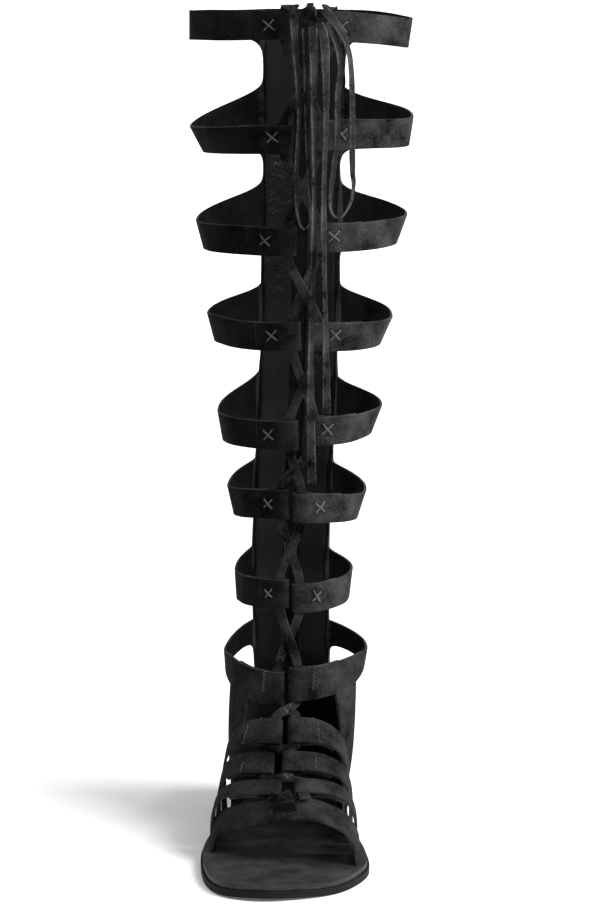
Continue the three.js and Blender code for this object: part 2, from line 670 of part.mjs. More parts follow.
function upper() {
  const sheet = new Sheet();
  sheet.patch(spineGrid(0), 1);
  const tunnels = {};
  for (const ring of RINGS) {
    (tunnels[ring.ring] ??= {})[ring.side] = addRing(sheet, ring);
  }
  for (const strap of FOOT_STRAPS) {
    const { line } = footStrapParts(strap, 0);
    (tunnels[strap.strap] ??= {})[strap.side] = tunnel(line, strap.side, strap.width / 2);
  }
  const parts = [
    sheet.thicken(WALL),
    ...SIDE_STRAPS.map((strap) => sideStrap(strap)),
    ...SIDE_STRAPS.map((strap) => counter(strap)),
    ...FOOT_STRAPS.map((strap) => footStrap(strap)),
    toeBand(),
    margin(),
  ];
  return { solid: join(parts).simplify(0.02), tunnels };
}

function insole() {
  const bed = plate(0, (y) => outsoleTop(y) + GAP, insoleTop);
  const heel = new Sheet();
  heel.patch(spineGrid(GAP).slice(0, 8), 1);
  const cutters = [
    heel.thicken(WALL + 2 * GAP),
    ...SIDE_STRAPS.map((strap) => sideStrap(strap, GAP)),
    ...SIDE_STRAPS.map((strap) => counter(strap, GAP)),
    ...FOOT_STRAPS.map((strap) => footStrap(strap, GAP)),
    toeBand(GAP),
    margin(GAP, WALL),
  ];
  return bed.subtract(join(cutters)).simplify(0.02);
}

// ---------------------------------------------------------------- lace

// A flat strip of lace along points that each carry the direction its face looks in.
function laceStrip(places) {
  const route = new THREE.CatmullRomCurve3(places.map((p) => p.point), false, 'centripetal');
  const steps = (places.length - 1) * 2;
  const grid = [];
  for (let i = 0; i <= steps; i += 1) {
    const t = i / steps;
    const from = Math.min(Math.floor(t * (places.length - 1)), places.length - 2);
    const share = t * (places.length - 1) - from;
    const face = places[from].face.clone().lerp(places[from + 1].face, share).normalize();
    const flare = THREE.MathUtils.lerp(places[from].flare ?? 1, places[from + 1].flare ?? 1, share);
    const wide = route.getTangent(t).cross(face).normalize().multiplyScalar((flare * LACE_WIDTH) / 2);
    const centre = route.getPoint(t);
    grid.push([centre.clone().sub(wide), centre.clone().add(wide)]);
  }
  const sheet = new Sheet();
  sheet.patch(grid, 1);
  return sheet.thicken(LACE_THICK);
}

const LACING = ['lower', 'middle', 'instep', 'ankle', ...ROOTS.slice(1).map((root) => root.ring)];
const CLEAR = 1.6; // how far past a strap's edge the lace runs on before it turns
const LACE_TAILS = table(['strand', 'x', 'y', 'z', 'flare'], [
  [-1, -0.8, -64.6, 38.9, 1.9],
  [-1, -2.4, -59, 43.4, 1.3],
  [1, 9.6, -63, 41.4, 1.3],
  [1, 8.6, -58.5, 44.2, 1],
]);

// One of the two strands, up through alternate sides from the toe band to the knot.
function strand(tunnels, first) {
  const places = [];
  const lean = first * 0.62; // one strand passes over the other where they cross
  LACING.forEach((name, i) => {
    const side = i % 2 ? -first : first;
    const { centre, up, normal, half } = tunnels[name][side];
    const at = (reach) => ({ point: centre.clone().addScaledVector(up, reach), face: normal });
    const entry = at(-half - CLEAR);
    if (i) {
      const before = places.at(-1);
      const point = before.point.clone().lerp(entry.point, 0.5).addScaledVector(normal, lean);
      places.push({ point, face: before.face.clone().lerp(normal, 0.5).normalize() });
    } else {
      const face = new THREE.Vector3(0, -0.6, 0.8);
      for (const row of LACE_TAILS.filter((tail) => tail.strand === first)) {
        places.push({ point: new THREE.Vector3(row.x, row.y, row.z), face, flare: row.flare });
      }
    }
    places.push(entry, at(0), at(half + CLEAR));
  });
  const top = places.at(-1);
  const side = Math.sign(top.point.x - KNOT.x);
  const over = KNOT.clone().add(new THREE.Vector3(side * (KNOT_SIZE.x / 2 + 1.6), 0.6, 3));
  places.push({ point: over, face: new THREE.Vector3(side * 0.8, -0.4, 0.6) });
  return laceStrip(places);
}

function cord(points) {
  const route = new THREE.CatmullRomCurve3(points.map((p) => new THREE.Vector3(...p)), false, 'centripetal');
  const section = new THREE.Shape();
  for (let i = 0; i < 8; i += 1) {
    const turn = (Math.PI * 2 * i) / 8;
    const [x, y] = [Math.cos(turn), Math.sin(turn)].map((v) => (v * CORD_DIAMETER) / 2);
    section[i ? 'lineTo' : 'moveTo'](x, y);
  }
  const steps = Math.round(route.getLength() / (CORD_DIAMETER * 4));
  return new THREE.ExtrudeGeometry(section, { steps, bevelEnabled: false, extrudePath: route });
}

function knot() {
  const ball = new THREE.SphereGeometry(0.5, 10, 7);
  ball.rotateX(Math.PI / 2);
  ball.scale(...KNOT_SIZE.toArray());
  ball.translate(...KNOT.toArray());
  return ball;
}

// ---------------------------------------------------------------- assembly

const finishes = {
  suede: { color: 0x17171a, roughness: 0.95, metalness: 0 },
  footbed: { color: 0x2b2c2f, roughness: 0.6, metalness: 0 },
  sole: { color: 0x1f1f1e, roughness: 0.7, metalness: 0 },
  lace: { color: 0x222225, roughness: 0.95, metalness: 0 },
};

const sandal = new THREE.Group();

function add(name, geometry, finish) {
  const mesh = new THREE.Mesh(geometry, new THREE.MeshStandardMaterial(finishes[finish]));
  mesh.name = name;
  sandal.add(mesh);
}

const { solid: upperSolid, tunnels } = upper();
add('outsole', geometryOfSolid(plate(SOLE_RIM, treadZ, outsoleTop)), 'sole');
add('insole', geometryOfSolid(insole()), 'footbed');
add('upper', geometryOfSolid(upperSolid), 'suede');
add('lace_crossings', geometryOfSolid(join([strand(tunnels, -1), strand(tunnels, 1)])), 'lace');

// The origin is under the middle of the sandal, without the free lace.
const box = new THREE.Box3().setFromObject(sandal, true);
add('lace_knot', knot(), 'lace');
for (const [name, route] of Object.entries(LACE_ROUTES)) {
  add(name, cord(route), 'lace');
}
sandal.position.set(-(box.min.x + box.max.x) / 2, -(box.min.y + box.max.y) / 2, -box.min.z);

export default sandal;
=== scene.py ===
"""Knee-high gladiator sandal in black suede, finished over its CAD part."""

import math
import random

import bmesh
import bpy
from bpy.props import FloatProperty, FloatVectorProperty, IntProperty, PointerProperty
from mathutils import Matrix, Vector, noise
from mathutils.bvhtree import BVHTree


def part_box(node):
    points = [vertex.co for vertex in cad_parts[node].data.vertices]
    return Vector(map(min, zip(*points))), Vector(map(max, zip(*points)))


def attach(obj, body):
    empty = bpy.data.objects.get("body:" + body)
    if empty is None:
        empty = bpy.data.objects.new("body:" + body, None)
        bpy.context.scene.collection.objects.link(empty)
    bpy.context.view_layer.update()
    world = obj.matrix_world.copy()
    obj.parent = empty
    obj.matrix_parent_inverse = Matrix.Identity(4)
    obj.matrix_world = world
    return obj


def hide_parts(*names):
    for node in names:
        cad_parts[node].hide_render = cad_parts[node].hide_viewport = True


bl_info = {
    "name": "Gladiator Sandal",
    "version": (1, 0, 0),
    "blender": (4, 5, 0),
    "location": "3D View > Sidebar > Sandal",
    "description": "Finishes a knee-high suede gladiator sandal over its CAD part",
    "category": "Object",
}

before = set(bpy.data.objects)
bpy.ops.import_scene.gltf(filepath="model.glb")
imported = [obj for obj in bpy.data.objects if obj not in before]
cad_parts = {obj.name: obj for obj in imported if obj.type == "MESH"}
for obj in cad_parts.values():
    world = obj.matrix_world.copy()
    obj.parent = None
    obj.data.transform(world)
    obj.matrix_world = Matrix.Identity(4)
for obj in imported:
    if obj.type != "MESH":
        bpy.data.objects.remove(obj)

SEED = 5
noise.seed_set(SEED)  # noise_vector starts from the clock unless it is seeded

MM = 0.001
SHARP = 0.9  # radians; a corner sharper than this stays a corner

# The pattern's own millimetres: the knot's middle there fixes where its origin lies in the frame.
KNOT = Vector((8.5, 15.5, 472))
_low, _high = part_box("lace_knot")
ORIGIN = (_low + _high) / 2 - KNOT * MM


def at(x, y, z):
    """A point given in the pattern's millimetres, in the row's frame."""
    return Vector((x, y, z)) * MM + ORIGIN


# Soft creases: middle, the way the leather is pushed, the line it follows, half length, half width, depth.
CREASES = [
    # ankle ring, outer half: the bend over the instep
    ((-14, 8, 92), (0, 1, 0), (0.1, 0, 1), 12, 3.0, 0.9),
    ((-27, 12, 94), (0.3, 1, 0), (-0.1, 0, 1), 12, 5.0, -0.8),
    # ankle ring, inner half
    ((24, 12, 96), (-0.3, 1, 0), (0.2, 0, 1), 12, 5.0, 0.9),
    ((33, 22, 96), (-1, 0.2, 0), (0.1, 0, 1), 12, 4.0, -0.7),
    # instep pair
    ((-22, -12, 66), (0.3, 0.6, -0.6), (0, 0.6, 0.7), 9, 4.0, 0.7),
    ((20, -10, 68), (-0.3, 0.6, -0.6), (0, 0.6, 0.7), 9, 5.0, 0.8),
    ((30, -4, 58), (-1, 0.1, -0.2), (0, 0.7, 0.7), 9, 5.0, -0.7),
    # middle pair
    ((22, -26, 51), (-0.3, 0.5, -0.7), (0, 0.7, 0.6), 8, 4.0, 0.8),
    ((-30, -25, 45), (0.6, 0.4, -0.6), (0, 0.7, 0.6), 8, 4.0, 0.6),
    # toe band
    ((-32, -52, 27), (0.3, 0.2, -0.9), (0.3, 1, 0.4), 12, 5.0, 0.8),
    ((22, -66, 34), (0, 0.2, -1), (-0.2, 1, 0.3), 12, 6.0, 0.9),
    ((32, -68, 26), (-0.6, 0, -0.7), (-0.1, 1, 0.2), 12, 4.0, -0.7),
    # rings up the leg
    ((-34, 40, 141), (1, 0.5, 0), (0, 0, 1), 10, 6.0, 0.8),
    ((30, 44, 140), (-1, 0.4, 0), (0, 0, 1), 10, 6.0, -0.8),
    ((-36, 36, 192), (1, 0.7, 0), (0.1, 0, 1), 10, 7.0, 0.9),
    ((34, 40, 190), (-1, 0.5, 0), (0, 0, 1), 10, 6.0, 0.8),
    ((-40, 34, 234), (1, 0.8, 0), (-0.1, 0, 1), 10, 7.0, -0.9),
    ((40, 38, 237), (-1, 0.7, 0), (0, 0, 1), 10, 8.0, 0.8),
    ((-46, 38, 291), (1, 0.7, 0), (0, 0, 1), 10, 8.0, 0.9),
    ((45, 40, 290), (-1, 0.6, 0), (0.1, 0, 1), 10, 7.0, -0.8),
    ((-50, 40, 345), (1, 0.7, 0), (0, 0, 1), 10, 8.0, -0.9),
    ((52, 42, 348), (-1, 0.7, 0), (0, 0, 1), 10, 8.0, 0.9),
    ((-54, 42, 400), (1, 0.6, 0), (0.1, 0, 1), 10, 8.0, 0.9),
    ((56, 40, 405), (-1, 0.8, 0), (-0.1, 0, 1), 10, 8.0, 0.9),
    ((-52, 38, 465), (1, 0.8, 0), (0, 0, 1), 10, 9.0, 0.8),
    ((54, 38, 463), (-1, 0.8, 0), (0, 0, 1), 10, 9.0, -0.8),
    # back spine: slack folds over the heel and where it has been creased in the box
    ((-6, 107, 118), (0, -1, 0), (1, 0, 0.1), 26, 5.0, 0.8),
    ((-6, 106, 150), (0, -1, 0), (1, 0, -0.1), 26, 6.0, -0.7),
    ((-4, 112, 222), (0, -1, 0), (1, 0, 0.1), 26, 6.0, 0.8),
    ((-3, 118, 319), (0, -1, 0), (1, 0, -0.1), 26, 6.0, 0.9),
    ((-2, 121, 372), (0, -1, 0), (1, 0, 0.1), 26, 6.0, 0.8),
    ((0, 120, 438), (0, -1, 0), (1, 0, 0), 26, 8.0, -0.8),
]

# Wrinkles of the back facings only: middle, line, half length, half width, depth.
FACING_WRINKLES = [
    ((-18, 381.5), (1, 0.10), 12, 1.3, 0.5),
    ((-17, 377.0), (1, -0.12), 10, 1.1, 0.45),
    ((-19, 372.5), (1, 0.06), 12, 1.4, 0.5),
    ((-16, 366.5), (1, 0.16), 9, 1.2, 0.45),
    ((-18, 360.0), (1, -0.08), 11, 1.5, 0.5),
    ((-17, 330.5), (1, 0.14), 10, 1.2, 0.5),
    ((-19, 326.5), (1, -0.05), 11, 1.1, 0.55),
    ((-16, 322.0), (1, 0.2), 9, 1.0, 0.5),
    ((-18, 317.5), (1, -0.1), 12, 1.3, 0.55),
    ((-17, 312.5), (1, 0.05), 10, 1.4, 0.45),
    ((-19, 262.0), (1, 0.1), 9, 2.0, 0.35),
    ((10, 383.0), (1, -0.1), 9, 1.6, 0.35),
    ((11, 324.0), (1, 0.12), 9, 1.5, 0.4),
    ((9, 318.0), (1, -0.06), 8, 1.3, 0.35),
    ((6, 262.0), (1, 0.08), 8, 2.0, 0.3),
    ((-18, 205.0), (1, 0.05), 9, 2.2, 0.3),
    ((5, 152.0), (1, -0.08), 8, 2.2, 0.3),
]

HIGHLIGHT_DEPTH = 0.4  # a wrinkle shallower than this gets no painted highlight

# Back facings: how light each one is, the outer darker than the inner as painted shade, and both edges as a
# share of the spine's half width.
FACINGS = {"facing_outer": (0.75, -0.95, -0.22), "facing_inner": (0.85, 0.14, 0.9)}

# Spine's middle and half width going up, for the facings.
SPINE = [
    (60, -6.0, 22.4),
    (100, -7.0, 22.4),
    (140, -7.5, 22.4),
    (190, -6.4, 22.6),
    (232, -4.5, 23.0),
    (290, -2.7, 22.9),
    (344, -2.3, 22.6),
    (402, -1.5, 22.9),
    (440, 0.0, 24.1),
    (468, 0.5, 24.7),
]

# Each half ring's turned-back front: its side (-1 outer, 1 inner), a height on it, then its cross stitch's
# distance from the folded end, size and turn in degrees, and how far from the end the turned-back part stops.
RING_FRONTS = [
    (-1, 465, 15, 6.6, 4, 27),
    (1, 465, 10.5, 7.4, -4, 19.5),
    (-1, 401, 11.5, 6.8, 3, 24),
    (1, 404, 19, 7.6, -6, 27),
    (-1, 343, 19, 6.4, -5, 31),
    (1, 346, 15.5, 7.6, 3, 24),
    (-1, 289, 18, 6.6, 6, 29),
    (1, 289, 16.5, 7.4, -3, 27),
    (-1, 233, 19, 6.8, 5, 28),
    (1, 235, 14.5, 7.8, -6, 25),
    (-1, 193, 14, 6.2, -3, 22),
    (1, 191, 18.5, 7.6, 5, 30),
    (-1, 141, 14, 5.6, 4, 21),
    (1, 139, 18, 7.6, -7, 27.5),
]
PROBE_X = 24  # millimetres from the middle, where every half ring has leather
FRONT = -40  # the pattern's y that probes of the straps' fronts start from
FRONT_DEPTH = 90 * MM  # a probe stops before the back spine
PROBE_STEP = 0.1
IN_FRONT = 14  # the y that stitches drop onto the leather from

STITCH_REACH = 4 * MM  # a longer stitch would bridge the gap under a strap's edge

# Zigzag stitches over a strap: lower end, upper end, turns and half width.
ZIGZAGS = [
    ((-19.6, 0, 79.0), (-19.2, 0, 99.5), 9, 1.0),
    ((13.4, 0, 80.5), (14.2, 0, 101.0), 9, 1.0),
    ((-32.0, -22, 60.0), (-30.4, -10, 75.0), 8, 1.1),
    ((19.6, -22, 64.5), (19.0, -10, 75.5), 6, 1.1),
    ((-31.4, -36, 50.0), (-31.0, -28, 57.5), 4, 1.0),
    ((15.6, -36, 53.0), (15.8, -26, 61.0), 4, 1.0),
]

# The knot: its pressed lump, then each turn of lace over it as middle, half width, half height, tilt and
# the lace's own half width.
KNOT_LUMP = (8.0, 15.4, 472.2)
KNOT_LUMP_SIZE = Vector((4.6, 3.8, 4.2))
KNOT_TURNS = [
    (7.2, 15.2, 472.8, 4.3, 4.7, 0.3, 1.9),
    (9.6, 15.3, 471.6, 4.0, 4.3, -0.5, 1.7),
]

LACE_SIDES = 10
LACE_EDGES = (8, 9, 0, 3, 4, 5)  # which of those sides are the lace's two cut edges
FOOTBED_UNDERSIDE = 6.5  # height under which the footbed isn't worn

# Where the foot has pressed the footbed: ball, outer ball, heel, toes, as middle and half length and width.
FOOTPRINT = [
    (12, -55, 30, 24),
    (-26, -45, 26, 18),
    (-4, 92, 24, 18),
    (-8, -98, 12, 34),
]

# Free lengths of lace: points with the turn of the flat side in degrees, 0 facing the toe.
BOW_LOOP_OUTER = [
    (1.2, 13.2, 474.6, 10),
    (-0.6, 11.6, 470, 25),
    (-0.2, 10.8, 458, 50),
    (1.2, 10.8, 435, 70),
    (2.4, 10.8, 413, 75),
    (1, 10.8, 388, 70),
    (0.8, 10.8, 368, 78),
    (2.6, 10.8, 355.6, 84),
    (6, 10.8, 352, 90),
    (9, 10.8, 357, 84),
    (8.6, 10.8, 375, 75),
    (7.2, 10.8, 398, 70),
    (6.6, 10.8, 425, 65),
    (6.4, 10.8, 452, 50),
    (6, 9.6, 464, 30),
]
BOW_LOOP_INNER = [
    (16, 13.2, 474.4, 10),
    (20.6, 11.6, 469.4, 30),
    (26.4, 10.8, 461, 55),
    (30.4, 10.8, 450, 65),
    (32, 10.8, 432, 60),
    (32.2, 10.8, 408, 55),
    (32.4, 10.8, 386, 60),
    (33, 10.8, 375, 75),
    (30.4, 10.8, 364.6, 84),
    (25.6, 10.8, 358.4, 90),
    (20.8, 10.8, 361, 84),
    (20, 10.8, 371, 72),
    (21.8, 10.8, 386, 60),
    (23.8, 10.8, 404, 55),
    (24.2, 10.8, 428, 50),
    (25.6, 10.8, 444, 55),
    (22.4, 10.8, 459, 40),
    (17, 10.2, 466.6, 20),
]
LACE_END_OUTER = [
    (10, 9.2, 467.2, 5),
    (10.4, 7, 459, 15),
    (10.8, 6.6, 440, 40),
    (10.6, 6.6, 412, 62),
    (11, 6.6, 380, 70),
    (10.8, 7, 345, 55),
    (9.6, 8, 310, 65),
    (9, 9, 276, 58),
    (9, 10, 241, 32),
    (9.8, 10.6, 207, 4),
]
LACE_END_INNER = [
    (13.6, 9.4, 466.4, -5),
    (16.4, 7.4, 459, 15),
    (17.4, 6.8, 440, 40),
    (17.6, 6.6, 412, 60),
    (16.6, 6.6, 380, 66),
    (16.4, 7, 350, 58),
    (17, 8, 315, 66),
    (17.6, 9.4, 280, 52),
    (18, 10.6, 247, 20),
]


# ------------------------------------------------------------------ settings


class SandalLeather(bpy.types.PropertyGroup):
    """Suede, lining and cut edges."""

    suede: FloatVectorProperty(
        name="Suede", description="Colour of the brushed suede",
        subtype="COLOR", default=(0.0143, 0.0143, 0.0146),
    )
    lining: FloatVectorProperty(
        name="Lining", description="Colour of the smooth inside",
        subtype="COLOR", default=(0.0058, 0.0058, 0.0062),
    )
    edge: FloatVectorProperty(
        name="Cut edge", description="Colour of the raw cut edges",
        subtype="COLOR", default=(0.024, 0.0235, 0.023),
    )
    softness: FloatProperty(
        name="Softness", description="How far a strap strays from its pattern", subtype="DISTANCE",
        unit="LENGTH", default=0.0009,
    )
    rounding: FloatProperty(
        name="Rounding", description="Radius worn on the cut edges", subtype="DISTANCE", unit="LENGTH",
        default=0.0003,
    )
    fibres: IntProperty(name="Fibres", description="Loose fibres along the cut edges", default=5200, min=0)


class SandalThread(bpy.types.PropertyGroup):
    """Stitches."""

    colour: FloatVectorProperty(
        name="Thread", description="Colour of the thread", subtype="COLOR", default=(0.078, 0.078, 0.08)
    )
    cross: FloatProperty(
        name="Cross thread", description="Thickness of the cross stitches", subtype="DISTANCE",
        unit="LENGTH", default=0.0009,
    )
    zigzag: FloatProperty(
        name="Zigzag thread", description="Thickness of the zigzag stitches", subtype="DISTANCE",
        unit="LENGTH", default=0.00045,
    )


class SandalLace(bpy.types.PropertyGroup):
    """Flat suede lace."""

    width: FloatProperty(
        name="Width", description="Width of the lace", subtype="DISTANCE", unit="LENGTH", default=0.005
    )
    thickness: FloatProperty(
        name="Thickness", description="Thickness of the lace",
        subtype="DISTANCE", unit="LENGTH", default=0.0013,
    )
    colour: FloatVectorProperty(
        name="Lace", description="Colour of the lace", subtype="COLOR", default=(0.0125, 0.0125, 0.0128)
    )


class SandalSole(bpy.types.PropertyGroup):
    """Footbed and outsole."""

    footbed: FloatVectorProperty(
        name="Footbed", description="Colour of the footbed", subtype="COLOR", default=(0.026, 0.0262, 0.027)
    )
    outsole: FloatVectorProperty(
        name="Outsole", description="Colour of the outsole", subtype="COLOR", default=(0.0082, 0.0082, 0.008)
    )
    tread: FloatProperty(
        name="Worn hollow", description="Depth the foot has pressed into the footbed", subtype="DISTANCE",
        unit="LENGTH", default=0.0005,
    )


class SandalStage(bpy.types.PropertyGroup):
    """Camera, light and floor."""

    eye: FloatVectorProperty(
        name="Camera", description="Where the camera stands", subtype="TRANSLATION", unit="LENGTH",
        default=(0.10092, -1.88025, 0.5),
    )
    turn: FloatProperty(
        name="Turn", description="Camera's turn about the vertical", subtype="ANGLE", unit="ROTATION",
        default=math.radians(3),
    )
    dip: FloatProperty(
        name="Dip", description="How far the camera looks down", subtype="ANGLE", unit="ROTATION",
        default=math.radians(8.4),
    )
    lens: FloatProperty(name="Lens", description="Focal length in millimetres", default=131.67)
    key: FloatProperty(name="Key", description="Strength of the main light", default=5.0)
    fill: FloatProperty(name="Fill", description="Strength of the surrounding light", default=0.28)


# ------------------------------------------------------------------ shaders


class Shader:
    """Adds and links nodes of one tree."""

    def __init__(self, tree):
        self.tree = tree

    def add(self, kind, inputs=None, **values):
        node = self.tree.nodes.new(kind)
        for name, value in values.items():
            setattr(node, name, value)
        for name, value in (inputs or {}).items():
            if isinstance(value, bpy.types.NodeSocket):
                self.tree.links.new(value, node.inputs[name])
            else:
                node.inputs[name].default_value = value
        return node

    def noise(self, vector, scale, detail=4.0, roughness=0.6):
        node = self.add(
            "ShaderNodeTexNoise", {"Vector": vector, "Scale": scale, "Detail": detail, "Roughness": roughness}
        )
        return node.outputs["Fac"]

    def math(self, operation, a, b=0.0, clamp=False):
        node = self.add("ShaderNodeMath", {0: a, 1: b}, operation=operation, use_clamp=clamp)
        return node.outputs[0]

    def spread(self, value, low, high, to_low=0.0, to_high=1.0):
        node = self.add(
            "ShaderNodeMapRange",
            {"Value": value, "From Min": low, "From Max": high, "To Min": to_low, "To Max": to_high},
        )
        return node.outputs["Result"]

    def scaled(self, colour, factor):
        node = self.add("ShaderNodeMix", {0: 1.0, 6: colour}, data_type="RGBA", blend_type="MULTIPLY")
        grey = self.add("ShaderNodeCombineColor", {0: factor, 1: factor, 2: factor})
        self.tree.links.new(grey.outputs[0], node.inputs[7])
        return node.outputs[2]


def nap_group():
    """Brushed nap: how light each patch is, and the height of the pile."""
    tree = bpy.data.node_groups.get("Suede nap")
    if tree:
        return tree
    tree = bpy.data.node_groups.new("Suede nap", "ShaderNodeTree")
    tree.interface.new_socket("Contrast", in_out="INPUT", socket_type="NodeSocketFloat").default_value = 1.0
    tree.interface.new_socket("Tone", in_out="OUTPUT", socket_type="NodeSocketFloat")
    tree.interface.new_socket("Height", in_out="OUTPUT", socket_type="NodeSocketFloat")
    s = Shader(tree)
    inside = s.add("NodeGroupInput")
    place = s.add("ShaderNodeTexCoord").outputs["Object"]
    brushed = s.noise(place, 75.0, 5.0, 0.62)
    patches = s.noise(place, 24.0, 2.0, 0.5)
    pile = s.noise(place, 900.0, 3.0, 0.7)
    tone = s.math("ADD", s.spread(brushed, 0.34, 0.68, -0.5, 0.6), s.spread(patches, 0.35, 0.65, -0.25, 0.25))
    tone = s.math("ADD", tone, s.spread(pile, 0.3, 0.7, -0.42, 0.42))
    tone = s.math("MULTIPLY", tone, inside.outputs["Contrast"])
    height = s.math("ADD", s.math("MULTIPLY", pile, 0.6), s.math("MULTIPLY", brushed, 0.4))
    s.add("NodeGroupOutput", {"Tone": s.math("ADD", tone, 1.0), "Height": height})
    return tree


def speck_group():
    """Pale specks of lint, as a mask."""
    tree = bpy.data.node_groups.get("Lint")
    if tree:
        return tree
    tree = bpy.data.node_groups.new("Lint", "ShaderNodeTree")
    tree.interface.new_socket("Amount", in_out="INPUT", socket_type="NodeSocketFloat").default_value = 0.5
    tree.interface.new_socket("Mask", in_out="OUTPUT", socket_type="NodeSocketFloat")
    s = Shader(tree)
    inside = s.add("NodeGroupInput")
    place = s.add("ShaderNodeTexCoord").outputs["Object"]
    fine = s.noise(place, 1500.0, 2.0, 0.5)
    clumps = s.noise(place, 160.0, 2.0, 0.5)
    mask = s.math("MULTIPLY", s.spread(fine, 0.68, 0.74), s.spread(clumps, 0.52, 0.66))
    s.add("NodeGroupOutput", {"Mask": s.math("MULTIPLY", mask, inside.outputs["Amount"], clamp=True)})
    return tree


def material(name):
    """A new material with its tree emptied down to a surface shader, as (material, helper, shader)."""
    made = bpy.data.materials.new(name)
    made.use_nodes = True
    tree = made.node_tree
    shader = next(n for n in tree.nodes if n.type == "BSDF_PRINCIPLED")
    return made, Shader(tree), shader


def link(s, shader, **sockets):
    """Sets or links the surface shader's sockets, given with _ for a space."""
    for name, value in sockets.items():
        socket = shader.inputs[name.replace("_", " ")]
        if isinstance(value, bpy.types.NodeSocket):
            s.tree.links.new(value, socket)
        else:
            socket.default_value = value


def rgba(colour, factor=1.0):
    return (*(c * factor for c in colour), 1.0)


def suede(name, colour, contrast=1.0, side=0.0, sheen=0.06, lint=0.25):
    """Brushed suede. side is painted light on the inner side of the leg and painted shade on the outer, a
    quarter as strong at the foot.
    """
    made, s, shader = material(name)
    nap = s.add("ShaderNodeGroup", node_tree=nap_group())
    nap.inputs["Contrast"].default_value = contrast
    specks = s.add("ShaderNodeGroup", node_tree=speck_group())
    specks.inputs["Amount"].default_value = lint
    place = s.add("ShaderNodeTexCoord").outputs["Object"]
    spot = s.add("ShaderNodeSeparateXYZ", {0: place}).outputs
    # Painted light and shade by side: the inner side (x above 0) lighter and the outer darker, full strength
    # up the leg and a quarter at the foot; brushed below holds this painted light and shade, not the nap.
    up_the_leg = s.spread(spot["Z"], 0.07, 0.15, 0.25, 1.0)
    brushed = s.math("MULTIPLY", s.spread(spot["X"], -0.012, 0.012, -side, side), up_the_leg)
    tone = s.math("MULTIPLY", nap.outputs["Tone"], s.math("ADD", brushed, 1.0))
    base = s.scaled(rgba(colour), tone)
    mixed = s.add(
        "ShaderNodeMix", {0: specks.outputs["Mask"], 6: base, 7: (0.07, 0.07, 0.07, 1)}, data_type="RGBA"
    ).outputs[2]
    bump = s.add("ShaderNodeBump", {"Strength": 0.55, "Distance": 0.0006, "Height": nap.outputs["Height"]})
    link(
        s, shader, Base_Color=mixed, Roughness=0.92, Specular_IOR_Level=0.04, Sheen_Weight=sheen,
        Sheen_Roughness=0.45, Sheen_Tint=(0.5, 0.5, 0.52, 1), Normal=bump.outputs[0],
    )
    return made


def smooth_leather(name, colour, roughness, wrinkle, lint=0.2, specular=0.4, mottle=1.0):
    """Smooth leather with a fine wrinkled grain. mottle is how much its tone varies."""
    made, s, shader = material(name)
    specks = s.add("ShaderNodeGroup", node_tree=speck_group())
    specks.inputs["Amount"].default_value = lint
    place = s.add("ShaderNodeTexCoord").outputs["Object"]
    flat = s.add("ShaderNodeMapping", {"Vector": place, "Scale": (1.0, 1.0, 2.6)}).outputs[0]
    grain = s.noise(flat, 340.0, 5.0, 0.7)
    broad = s.noise(flat, 60.0, 3.0, 0.55)
    cells = s.add(
        "ShaderNodeTexVoronoi", {"Vector": place, "Scale": 1100.0}, feature="F1"
    ).outputs["Distance"]
    mixed_grain = s.math("ADD", s.math("MULTIPLY", grain, 0.4), s.math("MULTIPLY", broad, 0.6))
    tone = s.spread(mixed_grain, 0.35, 0.65, 1.0 - 0.3 * mottle, 1.0 + 0.35 * mottle)
    base = s.scaled(rgba(colour), tone)
    mixed = s.add(
        "ShaderNodeMix", {0: specks.outputs["Mask"], 6: base, 7: (0.08, 0.08, 0.08, 1)}, data_type="RGBA"
    ).outputs[2]
    height = s.math("ADD", s.math("MULTIPLY", grain, 0.6), s.math("MULTIPLY", cells, 0.25))
    bump = s.add("ShaderNodeBump", {"Strength": wrinkle, "Distance": 0.0005, "Height": height})
    link(
        s, shader, Base_Color=mixed, Roughness=roughness, Specular_IOR_Level=specular,
        Normal=bump.outputs[0],
    )
    return made


def plain(name, colour, roughness=0.8, specular=0.2):
    made, s, shader = material(name)
    link(s, shader, Base_Color=rgba(colour), Roughness=roughness, Specular_IOR_Level=specular)
    return made


# ------------------------------------------------------------------ meshes


def show(name, mesh, slot, *finishes):
    """Puts a finished mesh in the scene, riding on the sandal."""
    obj = bpy.data.objects.new(name, mesh)
    bpy.context.scene.collection.objects.link(obj)
    for finish in finishes:
        mesh.materials.append(finish)
    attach(obj, "root")
    return obj


def mesh_of(name, points, faces):
    mesh = bpy.data.meshes.new(name)
    mesh.from_pydata([tuple(p) for p in points], [], faces)
    mesh.polygons.foreach_set("use_smooth", [True] * len(mesh.polygons))
    mesh.update()
    return mesh


def bake(obj):
    """Replaces an object's mesh by what its modifiers make of it."""
    graph = bpy.context.evaluated_depsgraph_get()
    finished = bpy.data.meshes.new_from_object(obj.evaluated_get(graph))
    obj.modifiers.clear()
    old, obj.data = obj.data, finished
    bpy.data.meshes.remove(old)


